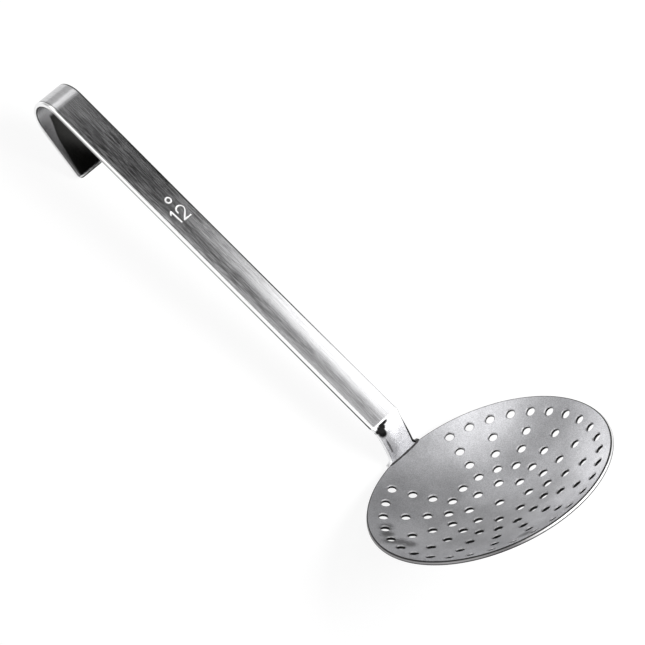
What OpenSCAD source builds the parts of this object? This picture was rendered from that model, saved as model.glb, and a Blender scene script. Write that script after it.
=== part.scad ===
// Kitchen skimmer, all in stainless steel: a dished, perforated bowl, an arched neck
// and a long flat strip handle that ends in a hook.
// It lies as it is laid on a table: on the heel of the neck and the tip of the hook.
// X runs from the bowl to the hook, Z is up, millimetres.
// The parts are drawn in the bowl's own frame (rim level, axis up) and leaned by rest().

/* [Bowl] */
// Rim diameter, over the upper edge
bowl_d = 120; // [80:1:200]
// Depth inside, rim plane to the middle
bowl_depth = 15; // [8:0.5:30]
// Sheet of the bowl
bowl_t = 2; // [1:0.1:3]

/* [Holes] */
// Hole diameter
hole_d = 4.4; // [2:0.1:6]
// Spokes that the holes stand on
spokes = 16; // [8:2:24]
// Rim edge to the centres of the outermost ring
rim_margin = 7; // [5:0.5:15]
// Ring to ring, and the least spacing of a doubled ring
hole_pitch = 9.6; // [7:0.1:16]
// Least metal between two holes of a ring
hole_land = 1.5; // [1:0.1:4]
// Half width of the bare field in front of the neck
bare_half = 11.5; // [5:0.5:25]
// Length of the bare field, from the neck inwards
bare_l = 30; // [5:1:50]

/* [Neck] */
// How far the neck's seat is cut in from the rim
seat_in = 1.1; // [0.5:0.1:3]
// Width of the neck at its waist
neck_w = 15.6; // [10:0.2:24]
// Crown of the neck across its width
neck_arch = 1.4; // [0:0.1:3]
// Upright part of the neck above the rim
neck_up = 2.5; // [0.5:0.5:10]
// Radius that the neck leans back on
neck_r = 54; // [20:1:120]
// Lean of the neck at its top, from upright
neck_lean = 19; // [5:1:35]
// Height over which the foot flares out to the rim
foot_flare = 3.2; // [1:0.1:6]
// Foot's end to the rim's corner, each side
foot_edge = 0.6; // [0.2:0.1:2]

/* [Handle] */
// Width of the strip
strip_w = 17; // [12:0.5:30]
// Sheet of the strip and the neck
strip_t = 2.5; // [1.5:0.1:4]
// Broken long edges of the strip
strip_edge = 0.8; // [0.2:0.1:1.2]
// Rise of the handle above the rim plane, in degrees
handle_rise = 48.3; // [30:0.1:65]
// Straight run of the handle, crease to hook bend
handle_l = 214; // [100:1:350]

/* [Hook] */
// Inside radius of the hook's bend
hook_r = 9.8; // [6:0.1:20]
// Turn of the bend, in degrees
hook_turn = 159.5; // [120:0.5:178]
// Straight return of the hook
hook_l = 31; // [10:0.5:60]
// Rounded corners at the hook's tip
hook_corner = 3; // [0.5:0.1:6]

/* [Seams] */
// Width of the butt seam at the crease
seam_w = 0.8; // [0.4:0.1:2]
// How far that seam stands proud
seam_proud = 0.1; // [0:0.05:0.5]
// Leg of the fillet seam at the neck's foot
foot_bead = 1; // [0.5:0.1:2]

/* [Hidden] */
$fn = 96;
hair = 0.01;
steel = [0.72, 0.73, 0.74];
steel_strip = [0.66, 0.68, 0.70];
steel_neck = [0.80, 0.81, 0.82];
seam_grey = [0.50, 0.51, 0.53];

// dish: a spherical cap between two concentric spheres, its edge cut square to the sheet
rim_r = bowl_d / 2;
sph_r = (rim_r * rim_r + bowl_depth * bowl_depth) / (2 * bowl_depth);
sph_z = sph_r - bowl_depth;
rim_a = asin(rim_r / sph_r);
out_r = sph_r + bowl_t;
function dish_z(r) = sph_z - sqrt(sph_r * sph_r - r * r);
function under_z(r) = sph_z - sqrt(out_r * out_r - r * r);

// seat of the neck: an upright flat across the rim
seat_u = rim_r - seat_in;
seat_chord = 2 * sqrt(rim_r * rim_r - seat_u * seat_u);
foot_w = seat_chord - 2 * foot_edge;
foot_z = under_z(seat_u);
foot_top = dish_z(seat_u);

// crease: where the front of the neck meets the upper face of the strip
crease_u = seat_u + neck_r * (1 - cos(neck_lean));
crease_z = neck_up + neck_r * sin(neck_lean);
kink = 90 - neck_lean - handle_rise;
hook_ro = hook_r + strip_t;

// points in the bowl's frame, from along and down the strip
function strip_u(a, q) = crease_u + a * cos(handle_rise) + q * sin(handle_rise);
function strip_z(a, q) = crease_z + a * sin(handle_rise) - q * cos(handle_rise);

// outer corner of the hook's tip
tip_a = handle_l + hook_ro * sin(hook_turn) + hook_l * cos(hook_turn);
tip_q = hook_ro - hook_ro * cos(hook_turn) + hook_l * sin(hook_turn);
tip_u = strip_u(tip_a, tip_q);
tip_z = strip_z(tip_a, tip_q);
heel_u = seat_u + strip_t;

// lean at rest: the neck's heel and the hook's tip stand on the table
lean = atan2(tip_z - foot_z, tip_u - heel_u);
function rest_x(u, z) = u * cos(lean) + z * sin(lean);
function rest_z(u, z) = z * cos(lean) - u * sin(lean);
table_z = rest_z(heel_u, foot_z);
// reach of the part along X, for the origin under the middle of its box
far_x = rest_x(-out_r * sin(rim_a), sph_z - out_r * cos(rim_a));
hook_x = rest_x(strip_u(handle_l, hook_ro), strip_z(handle_l, hook_ro)) + hook_ro;
mid_x = (far_x + hook_x) / 2;

module rest() {
  translate([-mid_x, 0, -table_z])
    rotate([0, lean, 0])
      children();
}

// rings of holes, from the rim inwards
ring_n = floor((rim_r - rim_margin - 0.9 * hole_pitch) / hole_pitch) + 1;
function ring_r(k) = rim_r - rim_margin - k * hole_pitch;
function ring_holes(r) =
  PI * r / spokes >= hole_pitch ? 2 * spokes :
  2 * PI * r / spokes >= hole_d + hole_land ? spokes : spokes / 2;
function is_bare(r, a) =
  r * cos(a) > seat_u - bare_l && abs(r * sin(a)) < bare_half;

// cap between two spheres on the dish's middle, its edge square to the sheet
module cap_shell(a, r_in, r_out, fn) {
  rotate_extrude($fn = fn)
    intersection() {
      translate([0, sph_z])
        difference() {
          circle(r = r_out, $fn = 720);
          circle(r = r_in, $fn = 720);
        }
      polygon([
        [0, sph_z],
        [0, sph_z - 2 * r_out],
        [2 * r_out * tan(a), sph_z - 2 * r_out]
      ]);
    }
}

module hole_at(r, a) {
  translate([0, 0, sph_z])
    rotate([0, 0, a])
      rotate([0, 180 - asin(r / sph_r), 0])
        translate([0, 0, sph_r - bowl_t])
          cylinder(d = hole_d, h = 3 * bowl_t, $fn = 48);
}

module bowl() {
  color(steel)
    rest()
      difference() {
        cap_shell(rim_a, sph_r, out_r, 180);
        // seat of the neck
        translate([seat_u, -seat_chord, -bowl_depth])
          cube([rim_r, 2 * seat_chord, 2 * bowl_depth]);
        hole_at(0, 0);
        for (k = [0:ring_n - 1])
          for (i = [0:ring_holes(ring_r(k)) - 1])
            if (!is_bare(ring_r(k), i * 360 / ring_holes(ring_r(k))))
              hole_at(ring_r(k), i * 360 / ring_holes(ring_r(k)));
      }
}

// neck: one loft from the foot to the crease, arched across its width
neck_steps = 28;
neck_pts = 16;
flare_n = 8;
neck_end = strip_t / cos(kink / 2);
// stations as height along the front line, close together in the flare
neck_len = neck_up - foot_z + neck_r * neck_lean * PI / 180;
function station(i) =
  i <= flare_n ? (foot_flare - foot_z) * i / flare_n
  : (foot_flare - foot_z)
    + (neck_len - foot_flare + foot_z) * (i - flare_n) / (neck_steps - flare_n);
function arc_a(s) = max(0, s - (neck_up - foot_z)) / neck_r * 180 / PI;
function line_u(s) = seat_u + neck_r * (1 - cos(arc_a(s)));
function line_z(s) =
  s <= neck_up - foot_z ? foot_z + s : neck_up + neck_r * sin(arc_a(s));
function smooth(x) = let (c = min(1, max(0, x))) c * c * (3 - 2 * c);
// half width: quarter round at the root, strip width again at the crease
function root_y(z) =
  z <= 0 ? foot_w / 2
  : z >= foot_flare ? neck_w / 2
  : foot_w / 2 - (foot_w - neck_w) / 2 * sqrt(1 - pow(1 - z / foot_flare, 2));
function half_w(s) =
  root_y(s + foot_z) + (strip_w - neck_w) / 2 * smooth((s - neck_len + 5) / 5);
function arch(s) =
  neck_arch * smooth((s + foot_z - 0.5) / 6) * smooth((neck_len - s) / 5);
// one ring of points: front from +y to -y, then the back
function front_pt(s, y, d) =
  let (
    a = arc_a(s),
    w = half_w(s),
    lift = arch(s) * (1 - pow(y / w, 2)) - d
  )
  [line_u(s) - lift * cos(a), y, line_z(s) + lift * sin(a)];
// the last ring lies in the plane of the seam
function end_pt(y, d) =
  let (
    back = seam_w / 2 / cos(kink / 2),
    b = 90 - (90 - neck_lean - kink / 2)
  )
  [
    crease_u - back * sin(neck_lean) + d * cos(b),
    y,
    crease_z - back * cos(neck_lean) - d * sin(b)
  ];
function across(j, w) = w * (1 - 2 * j / (neck_pts - 1));
function neck_ring(i) =
  i == neck_steps
  ? concat(
      [for (j = [0:neck_pts - 1]) end_pt(across(j, strip_w / 2), 0)],
      [for (j = [neck_pts - 1:-1:0]) end_pt(across(j, strip_w / 2), neck_end)]
    )
  : let (s = station(i), w = half_w(s))
    concat(
      [for (j = [0:neck_pts - 1]) front_pt(s, across(j, w), 0)],
      [for (j = [neck_pts - 1:-1:0]) front_pt(s, across(j, w), strip_t)]
    );

module neck() {
  n = 2 * neck_pts;
  pts = [for (i = [0:neck_steps]) each neck_ring(i)];
  sides = [
    for (i = [0:neck_steps - 1])
      for (j = [0:n - 1])
        let (k = (j + 1) % n, a = i * n, b = (i + 1) * n)
        each [[a + j, b + j, a + k], [a + k, b + j, b + k]]
  ];
  bottom = [
    for (j = [0:neck_pts - 2])
      let (k = n - 1 - j)
      each [[j, j + 1, k], [j + 1, k - 1, k]]
  ];
  top_0 = neck_steps * n;
  top = [
    for (j = [0:neck_pts - 2])
      let (k = n - 1 - j)
      each [[top_0 + j, top_0 + k, top_0 + j + 1], [top_0 + j + 1, top_0 + k, top_0 + k - 1]]
  ];
  color(steel_neck)
    rest()
      polyhedron(points = pts, faces = concat(sides, bottom, top), convexity = 4);
}

// section of the strip, its long edges broken: x across, y from the upper face down
module strip_section(w, t, e) {
  union() {
    translate([-w / 2 + e, -t])
      square([w - 2 * e, t]);
    translate([-w / 2, -t + e])
      square([w, t - 2 * e]);
    for (sx = [-1, 1])
      for (y = [-e, -t + e])
        translate([sx * (w / 2 - e), y])
          circle(r = e, $fn = 32);
  }
}

// straight run of strip, its section smaller all round by inset
module strip_run(l, inset = 0) {
  rotate([90, 0, 90])
    linear_extrude(l)
      translate([0, -inset])
        strip_section(strip_w - 2 * inset, strip_t - 2 * inset, strip_edge - inset);
}

// plan of the hook's return, with two rounded corners at its tip
module tip_plan() {
  union() {
    translate([-1, -strip_w / 2])
      square([hook_l + 1 - hook_corner, strip_w]);
    translate([0, -strip_w / 2 + hook_corner])
      square([hook_l, strip_w - 2 * hook_corner]);
    for (sy = [-1, 1])
      translate([hook_l - hook_corner, sy * (strip_w / 2 - hook_corner)])
        circle(r = hook_corner, $fn = 64);
  }
}

// places children in the strip's frame: x along it, z off its upper face, origin at the crease
module on_strip() {
  rest()
    translate([crease_u, 0, crease_z])
      rotate([0, -handle_rise, 0])
        children();
}

module handle() {
  color(steel_strip)
    on_strip()
      difference() {
        translate([handle_l, 0, -hook_ro])
          hooked_strip(handle_l + strip_t);
        // lower end, cut to the plane of the seam
        rotate([0, -kink / 2, 0])
          translate([-20 * strip_t + seam_w / 2, -strip_w, -10 * strip_t])
            cube([20 * strip_t, 2 * strip_w, 20 * strip_t]);
      }
}

// the strip about the axis of its bend: straight run, bend and return
module hooked_strip(l) {
  translate([-l, 0, hook_ro])
    strip_run(l);
  // the bend: a whole ring, cut down to the turn
  difference() {
    rotate([90, 0, 0])
      rotate([0, 0, 180])
        rotate_extrude($fn = 180)
          translate([hook_ro, 0])
            rotate([0, 0, -90])
              strip_section(strip_w, strip_t, strip_edge);
    translate([-2 * hook_ro, -strip_w, -0.5 * hook_ro])
      cube([2 * hook_ro, 2 * strip_w, 3 * hook_ro]);
    rotate([0, hook_turn, 0])
      translate([0, -strip_w, -2 * hook_ro])
        cube([2 * hook_ro, 2 * strip_w, 4 * hook_ro]);
  }
  rotate([0, hook_turn, 0])
    translate([0, 0, hook_ro])
      intersection() {
        // a hair smaller than the bend, so that it seats wholly on the bend's end
        strip_run(hook_l, hair);
        translate([0, 0, -2 * strip_t])
          linear_extrude(3 * strip_t)
            tip_plan();
      }
}

// butt seam between the neck and the strip, a hair proud all round
module neck_seam() {
  color(seam_grey)
    on_strip()
      rotate([0, -kink / 2, 0])
        translate([-seam_w / 2, 0, seam_proud])
          rotate([90, 0, 90])
            linear_extrude(seam_w)
              strip_section(strip_w + 2 * seam_proud, neck_end + 2 * seam_proud, strip_edge);
}

// fillet seam in the corner between the dish and the neck's foot, run out at both ends
bead_steps = 24;
bead_pts = 7;
bead_l = foot_w - 2 * foot_edge;
function bead_y(i) = bead_l * (i / bead_steps - 0.5);
function bead_leg(y) =
  foot_bead * (0.35 + 0.65 * smooth((bead_l / 2 - abs(y)) / foot_bead / 1.5));
function on_dish(u, y) = [u, y, dish_z(sqrt(u * u + y * y))];
// hollow face from the neck down to the toe on the dish, then the corner
function bead_ring(i) =
  let (
    y = bead_y(i),
    leg = bead_leg(y),
    corner = on_dish(seat_u, y),
    top = corner + [0, 0, leg],
    toe = on_dish(seat_u - leg, y),
    mid = 0.45 * corner + 0.275 * top + 0.275 * toe
  )
  concat(
    [
      for (j = [0:bead_pts - 1])
        let (t = j / (bead_pts - 1))
        (1 - t) * (1 - t) * top + 2 * t * (1 - t) * mid + t * t * toe
    ],
    [corner]
  );

module foot_seam() {
  n = bead_pts + 1;
  last = bead_steps * n;
  color(seam_grey)
    rest()
      polyhedron(
        points = [for (i = [0:bead_steps]) each bead_ring(i)],
        faces = concat(
          [
            for (i = [0:bead_steps - 1])
              for (j = [0:n - 1])
                let (k = (j + 1) % n, a = i * n, b = a + n)
                each [[a + j, a + k, b + j], [a + k, b + k, b + j]]
          ],
          [for (j = [0:n - 3]) [n - 1, j + 1, j]],
          [for (j = [0:n - 3]) [last + n - 1, last + j, last + j + 1]]
        ),
        convexity = 2
      );
}

bowl();
foot_seam();
neck();
neck_seam();
handle();
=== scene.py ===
# Kitchen skimmer in worn stainless steel: a perforated dish, an arched neck
# and a flat strip handle bent into a hook. Metres, Z up, lying as laid on a table.
import math
import bpy
from bpy.props import FloatProperty, FloatVectorProperty, IntProperty, PointerProperty
from bpy.types import Operator, Panel, PropertyGroup
from mathutils import Matrix, Vector


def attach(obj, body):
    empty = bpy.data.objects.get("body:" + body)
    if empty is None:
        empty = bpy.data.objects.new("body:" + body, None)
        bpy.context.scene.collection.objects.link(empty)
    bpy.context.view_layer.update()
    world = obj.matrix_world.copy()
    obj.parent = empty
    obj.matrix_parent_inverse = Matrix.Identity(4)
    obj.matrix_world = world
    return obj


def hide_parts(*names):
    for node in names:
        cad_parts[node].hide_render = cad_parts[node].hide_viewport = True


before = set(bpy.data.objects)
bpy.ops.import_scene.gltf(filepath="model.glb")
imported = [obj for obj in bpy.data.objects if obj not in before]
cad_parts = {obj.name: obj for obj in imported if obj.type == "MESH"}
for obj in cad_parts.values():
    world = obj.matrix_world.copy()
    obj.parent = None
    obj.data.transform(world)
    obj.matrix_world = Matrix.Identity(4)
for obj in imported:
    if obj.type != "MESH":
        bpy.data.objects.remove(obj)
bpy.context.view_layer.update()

bl_info = {
    "name": "Kitchen Skimmer",
    "version": (1, 0, 0),
    "blender": (4, 5, 0),
    "location": "3D View > Sidebar > Skimmer",
    "description": "Builds a perforated kitchen skimmer with a hooked strip handle",
    "category": "Add Mesh",
}

BODY = "root"
MM = 0.001


def length(name, text, value, low=0.0):
    """A size in metres."""
    return FloatProperty(name=name, description=text, default=value, min=low, unit="LENGTH", precision=5)


def turn(name, text, degrees):
    """An angle, given in degrees."""
    return FloatProperty(name=name, description=text, default=math.radians(degrees), unit="ROTATION")


def share(name, text, value, high=1.0):
    """A plain factor."""
    return FloatProperty(name=name, description=text, default=value, min=0.0, max=high, subtype="FACTOR")


def tint(name, text, value):
    """A linear colour."""
    return FloatVectorProperty(name=name, description=text, default=value, size=3, min=0.0, max=1.0, subtype="COLOR")


class SkimmerDish(PropertyGroup):
    """Sizes of the dish and of its holes."""

    diameter: length("Diameter", "Rim diameter over the upper edge", 120 * MM)
    depth: length("Depth", "Rim plane to the middle, inside", 15 * MM)
    sheet: length("Sheet", "Thickness of the dish", 2 * MM)
    rim_round: length("Rim round", "Radius on both edges of the rim", 0.45 * MM)
    hole: length("Hole", "Hole diameter", 4.4 * MM)
    hole_edge: length("Hole edge", "Broken edge of each hole", 0.40 * MM)
    spokes: IntProperty(name="Spokes", description="Spokes that the holes stand on", default=16, min=4)
    rim_margin: length("Rim margin", "Rim edge to the outermost ring of holes", 7 * MM)
    pitch: length("Pitch", "Ring to ring", 9.6 * MM)
    land: length("Land", "Least metal between two holes of a ring", 1.5 * MM)
    bare_half: length("Bare half width", "Half width of the bare field by the neck", 11.5 * MM)
    bare_reach: length("Bare reach", "Length of the bare field by the neck", 30 * MM)


class SkimmerNeck(PropertyGroup):
    """Sizes of the neck and of the two seams."""

    seat_in: length("Seat", "How far the seat is cut in from the rim", 1.1 * MM)
    waist: length("Waist", "Width at the waist", 15.6 * MM)
    crown: length("Crown", "Height of the arch across the neck", 1.4 * MM)
    upright: length("Upright", "Upright part above the rim", 2.5 * MM)
    radius: length("Radius", "Radius that the neck leans back on", 54 * MM)
    lean: turn("Lean", "Lean at the top, from upright", 19)
    flare: length("Flare", "Height over which the foot flares out", 3.2 * MM)
    foot_edge: length("Foot edge", "Foot's end to the rim's corner", 0.6 * MM)
    seam: length("Butt seam", "Width of the seam at the crease", 0.8 * MM)
    proud: length("Proud", "How far that seam stands proud", 0.02 * MM)
    bead: length("Fillet seam", "Leg of the seam at the foot", 1 * MM)


class SkimmerStrip(PropertyGroup):
    """Sizes of the handle and its hook."""

    width: length("Width", "Width of the strip", 17 * MM)
    sheet: length("Sheet", "Thickness of the strip and the neck", 2.5 * MM)
    edge: length("Edge", "Radius of the upper long edges", 0.60 * MM)
    lower_edge: length("Lower edge", "Radius of the lower long edges", 0.25 * MM)
    tip_edge: length("Tip edge", "Radius of the edges at the hook's tip", 1.15 * MM)
    crown: length("Crown", "How far the face falls off to its long edges", 0.40 * MM)
    rise: turn("Rise", "Rise of the handle above the rim plane", 48.3)
    run: length("Run", "Crease to the start of the bend", 214 * MM)
    bend: length("Bend", "Inside radius of the hook's bend", 9.8 * MM)
    bend_turn: turn("Turn", "Turn of the hook's bend", 159.5)
    back: length("Return", "Straight return of the hook", 31 * MM)
    corner: length("Corner", "Rounded corners at the hook's tip", 3 * MM)
    # share of the long sides that gets painted shade from below
    shaded_foot: share("Shaded foot", "Share of the long sides that dirt covers from below", 0.86)
    number_at: length("Number", "Crease to the foot of the stamped number", 134.4 * MM)
    number_size: length("Number size", "Height of the stamped number", 7.2 * MM)
    number_stroke: length("Number stroke", "Width of the stamped strokes", 1.15 * MM)
    number_depth: length("Number depth", "Depth of the stamped strokes", 0.28 * MM)


class SkimmerFinish(PropertyGroup):
    """Colours of the steel and of the light and shade painted on it."""

    satin: tint("Satin", "Worn satin steel of the dish", (0.60, 0.60, 0.62))
    polished: tint("Polished", "Polished steel of the neck", (0.88, 0.88, 0.89))
    brushed: tint("Brushed", "Brushed steel of the strip", (0.66, 0.66, 0.67))
    # tarnish between the brush lines, also used as painted shade and painted dark reflection on the dish, neck and
    # strip
    tarnish_and_shade: tint("Tarnish and shade", "Darkened steel between the brush lines", (0.12, 0.118, 0.12))
    # real stains in the dish, and painted shade on the seams, the edges, the hole walls and the stamped strokes
    stain_and_shade: tint("Stain and shade", "Dark steel of the seams, edges and hole walls", (0.035, 0.034, 0.034))
    # painted highlight on the stamped strokes, the rim's band, the broken hole edges, the near long side and the tip
    painted_highlight: tint("Painted highlight", "Freshly displaced steel in the stamped strokes", (0.92, 0.92, 0.92))


class SkimmerStage(PropertyGroup):
    """Floor and light."""

    floor: tint("Floor", "Pale floor", (0.8, 0.8, 0.8))
    sky: share("Sky", "Strength of the light from all round", 0.45, 4.0)
    key: share("Key", "Strength of the large lamp, in watts", 14.0, 200.0)


GROUPS = {
    "skimmer_dish": SkimmerDish,
    "skimmer_neck": SkimmerNeck,
    "skimmer_strip": SkimmerStrip,
    "skimmer_finish": SkimmerFinish,
    "skimmer_stage": SkimmerStage,
}


class Shape:
    """What follows from the sizes: the dish's sphere, the seat, the crease and the lean at rest."""

    def __init__(self, scene):
        self.dish = dish = scene.skimmer_dish
        self.neck = neck = scene.skimmer_neck
        self.strip = strip = scene.skimmer_strip
        self.rim = dish.diameter / 2
        self.ball = (self.rim**2 + dish.depth**2) / (2 * dish.depth)
        self.ball_z = self.ball - dish.depth
        self.rim_angle = math.asin(self.rim / self.ball)
        self.seat = self.rim - neck.seat_in
        self.foot_width = 2 * math.sqrt(self.rim**2 - self.seat**2) - 2 * neck.foot_edge
        self.foot_z = self.under(self.seat)
        self.crease = Vector((
            self.seat + neck.radius * (1 - math.cos(neck.lean)),
            0,
            neck.upright + neck.radius * math.sin(neck.lean),
        ))
        self.kink = math.radians(90) - neck.lean - strip.rise
        self.outer = strip.bend + strip.sheet
        tip = self.strip_point(
            strip.run + self.outer * math.sin(strip.bend_turn) + strip.back * math.cos(strip.bend_turn),
            self.outer * (1 - math.cos(strip.bend_turn)) + strip.back * math.sin(strip.bend_turn),
        )
        heel = Vector((self.seat + strip.sheet, 0, self.foot_z))
        self.lean = math.atan2(tip.z - heel.z, tip.x - heel.x)
        turned = Matrix.Rotation(self.lean, 4, "Y")
        far_edge = self.ball + dish.sheet
        far = turned @ Vector((-far_edge * math.sin(self.rim_angle), 0, self.ball_z - far_edge * math.cos(self.rim_angle)))
        bend = turned @ self.strip_point(strip.run, self.outer)
        middle = (far.x + bend.x + self.outer) / 2
        self.rest = Matrix.Translation((-middle, 0, -(turned @ heel).z)) @ turned
        self.on_strip = self.rest @ Matrix.Translation(self.crease) @ Matrix.Rotation(-strip.rise, 4, "Y")

    def inside(self, r):
        """Height of the dish's upper face at a distance from its axis."""
        return self.ball_z - math.sqrt(self.ball**2 - r * r)

    def under(self, r):
        """Height of the dish's underside."""
        return self.ball_z - math.sqrt((self.ball + self.dish.sheet) ** 2 - r * r)

    def stains(self):
        """Middles of the stains in the dish, as laid at rest."""
        places = ((19, 51), (15, 48), (10, 47), (30, 43), (25, 47), (-44, 22))
        return [self.rest @ Vector((u * MM, v * MM, self.inside(math.hypot(u, v) * MM))) for u, v in places]

    def strip_point(self, along, down):
        """A point from along and below the strip's upper face, in the dish's frame."""
        rise = self.strip.rise
        return self.crease + Vector((
            along * math.cos(rise) + down * math.sin(rise),
            0,
            along * math.sin(rise) - down * math.cos(rise),
        ))


# Meshes


def new_object(name, points, faces, **marks):
    """A mesh object from points and faces, with named numbers on its points."""
    mesh = bpy.data.meshes.new(name)
    mesh.from_pydata([tuple(p) for p in points], [], faces)
    for mark, values in marks.items():
        mesh.attributes.new(mark, "FLOAT", "POINT").data.foreach_set("value", values)
    made = bpy.data.objects.new(name, mesh)
    bpy.context.scene.collection.objects.link(made)
    return made


def skin(rings, closed_ends=True, endless=False):
    """Quads between closed rings of points, with a face over each end, or on round to the first ring."""
    n = len(rings[0])
    points = [p for ring in rings for p in ring]
    pairs = [(i, (i + 1) % len(rings)) for i in range(len(rings) - (0 if endless else 1))]
    faces = [(i * n + j, i * n + (j + 1) % n, k * n + (j + 1) % n, k * n + j) for i, k in pairs for j in range(n)]
    if closed_ends and not endless:
        last = (len(rings) - 1) * n
        faces.append(tuple(range(n - 1, -1, -1)))
        faces.append(tuple(range(last, last + n)))
    return points, faces


def evaluated(obj):
    """Turns the object's modifiers into its own plain mesh."""
    graph = bpy.context.evaluated_depsgraph_get()
    mesh = bpy.data.meshes.new_from_object(obj.evaluated_get(graph), preserve_all_data_layers=True, depsgraph=graph)
    obj.modifiers.clear()
    spent = obj.data
    obj.data = mesh
    mesh.name = obj.name
    bpy.data.meshes.remove(spent)
    return obj


def grow(obj, tree, **values):
    """Runs a Geometry Nodes tree on the object, its inputs given by name, and keeps the result."""
    modifier = obj.modifiers.new(tree.name, "NODES")
    modifier.node_group = tree
    sockets = {item.name: item.identifier for item in tree.interface.items_tree if item.in_out == "INPUT"}
    for name, value in values.items():
        modifier[sockets[name.replace("_", " ")]] = value
    return evaluated(obj)


def settle(obj, matrix, sharp=35):
    """Moves the mesh to its place and gives its flat faces flat, and its round ones smooth, normals."""
    obj.data.transform(matrix)
    obj.data.shade_smooth()
    obj.data.set_sharp_from_angle(angle=math.radians(sharp))
    weigh = obj.modifiers.new("Face normals", "WEIGHTED_NORMAL")
    weigh.keep_sharp = True
    return evaluated(obj)


def finish_piece(obj, node, material):
    """The piece takes its steel and the place of its solid."""
    obj.data.materials.clear()
    obj.data.materials.append(material)
    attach(obj, BODY)
    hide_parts(node)


class Bench:
    """Adds nodes to a tree and wires them as they are added."""

    def __init__(self, tree):
        self.tree = tree
        self.column = 0

    def add(self, kind, *values, **settings):
        made = self.tree.nodes.new(kind)
        self.column += 1
        made.location = (self.column % 12 * 190, -(self.column // 12) * 260)
        named = settings.pop("sockets", {})
        for key, value in settings.items():
            setattr(made, key, value)
        for key, value in [*enumerate(values), *named.items()]:
            if isinstance(value, bpy.types.NodeSocket):
                self.tree.links.new(value, made.inputs[key])
            elif value is not None:
                made.inputs[key].default_value = value
        return made

    def math(self, operation, *values):
        return self.add("ShaderNodeMath", *values, operation=operation).outputs[0]

    def scale(self, color, factor):
        """A colour times a number."""
        return self.add("ShaderNodeVectorMath", color, factor, operation="MULTIPLY").outputs[0]

    def vector(self, *values):
        return self.add("ShaderNodeCombineXYZ", *values).outputs[0]

    def split(self, value):
        return self.add("ShaderNodeSeparateXYZ", value).outputs

    def both(self, *values):
        return self.add("FunctionNodeBooleanMath", *values, operation="AND").outputs[0]


def new_tree(name, kind, inputs, outputs):
    """A node tree with named sockets, its group input's outputs by name, and its group output."""
    tree = bpy.data.node_groups.new(name, kind)
    for socket, socket_type, value in inputs:
        made = tree.interface.new_socket(socket, in_out="INPUT", socket_type=socket_type)
        if value is not None:
            made.default_value = value
    for socket, socket_type in outputs:
        tree.interface.new_socket(socket, in_out="OUTPUT", socket_type=socket_type)
    bench = Bench(tree)
    source = bench.add("NodeGroupInput").outputs
    return tree, bench, source, bench.add("NodeGroupOutput")


FLOAT = "NodeSocketFloat"


def ring_of_holes_tree():
    """Points on one ring: twice the spokes where there is room, half where there is too little."""
    tree, bench, given, out = new_tree(
        "Ring of holes",
        "GeometryNodeTree",
        [("Radius", FLOAT, 0.05), ("Spokes", "NodeSocketInt", 16), ("Pitch", FLOAT, 0.01), ("Least", FLOAT, 0.006)],
        [("Points", "NodeSocketGeometry")],
    )
    step = bench.math("DIVIDE", bench.math("MULTIPLY", given["Radius"], math.tau), given["Spokes"])
    roomy = bench.math("GREATER_THAN", bench.math("MULTIPLY", step, 0.5), given["Pitch"])
    tight = bench.math("LESS_THAN", step, given["Least"])
    count = bench.math("MULTIPLY", given["Spokes"], bench.math("ADD", roomy, 1))
    count = bench.math("ROUND", bench.math("DIVIDE", count, bench.math("ADD", tight, 1)))
    index = bench.add("GeometryNodeInputIndex").outputs[0]
    angle = bench.math("DIVIDE", bench.math("MULTIPLY", index, math.tau), count)
    x = bench.math("MULTIPLY", bench.math("COSINE", angle), given["Radius"])
    y = bench.math("MULTIPLY", bench.math("SINE", angle), given["Radius"])
    points = bench.add("GeometryNodePoints", count, bench.vector(x, y, 0.0))
    tree.links.new(points.outputs[0], out.inputs[0])
    return tree


def punch_tree(rings):
    """Cutter with flared ends, which breaks both edges of the hole that it cuts."""
    tree, bench, given, out = new_tree(
        "Hole punch",
        "GeometryNodeTree",
        [("Hole", FLOAT, 0.004), ("Edge", FLOAT, 0.0002), ("Sheet", FLOAT, 0.002)],
        [("Punch", "NodeSocketGeometry")],
    )
    radius = bench.math("MULTIPLY", given["Hole"], 0.5)
    tube = bench.add("GeometryNodeMeshCylinder", 40, 3, 1, radius, 2.0)
    x, y, z = bench.split(bench.add("GeometryNodeInputPosition").outputs[0])
    outer = bench.math("GREATER_THAN", bench.math("ABSOLUTE", z), 0.5)
    # the flared ends stand as far off the sheet as the broken edge goes in
    grown = bench.math("DIVIDE", bench.math("MULTIPLY", given["Edge"], 2.0), radius)
    factor = bench.math("ADD", bench.math("MULTIPLY", outer, grown), 1.0)
    half = bench.math("MULTIPLY", given["Sheet"], 0.5)
    reach = bench.math("ADD", half, bench.math("MULTIPLY", given["Edge"], bench.math("SUBTRACT", bench.math("MULTIPLY", outer, 2.0), 1.0)))
    height = bench.math("ADD", half, bench.math("MULTIPLY", bench.math("SIGN", z), reach))
    place = bench.vector(bench.math("MULTIPLY", x, factor), bench.math("MULTIPLY", y, factor), height)
    shaped = bench.add("GeometryNodeSetPosition", tube.outputs[0], True, place)
    tree.links.new(shaped.outputs[0], out.inputs[0])
    return tree


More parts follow.
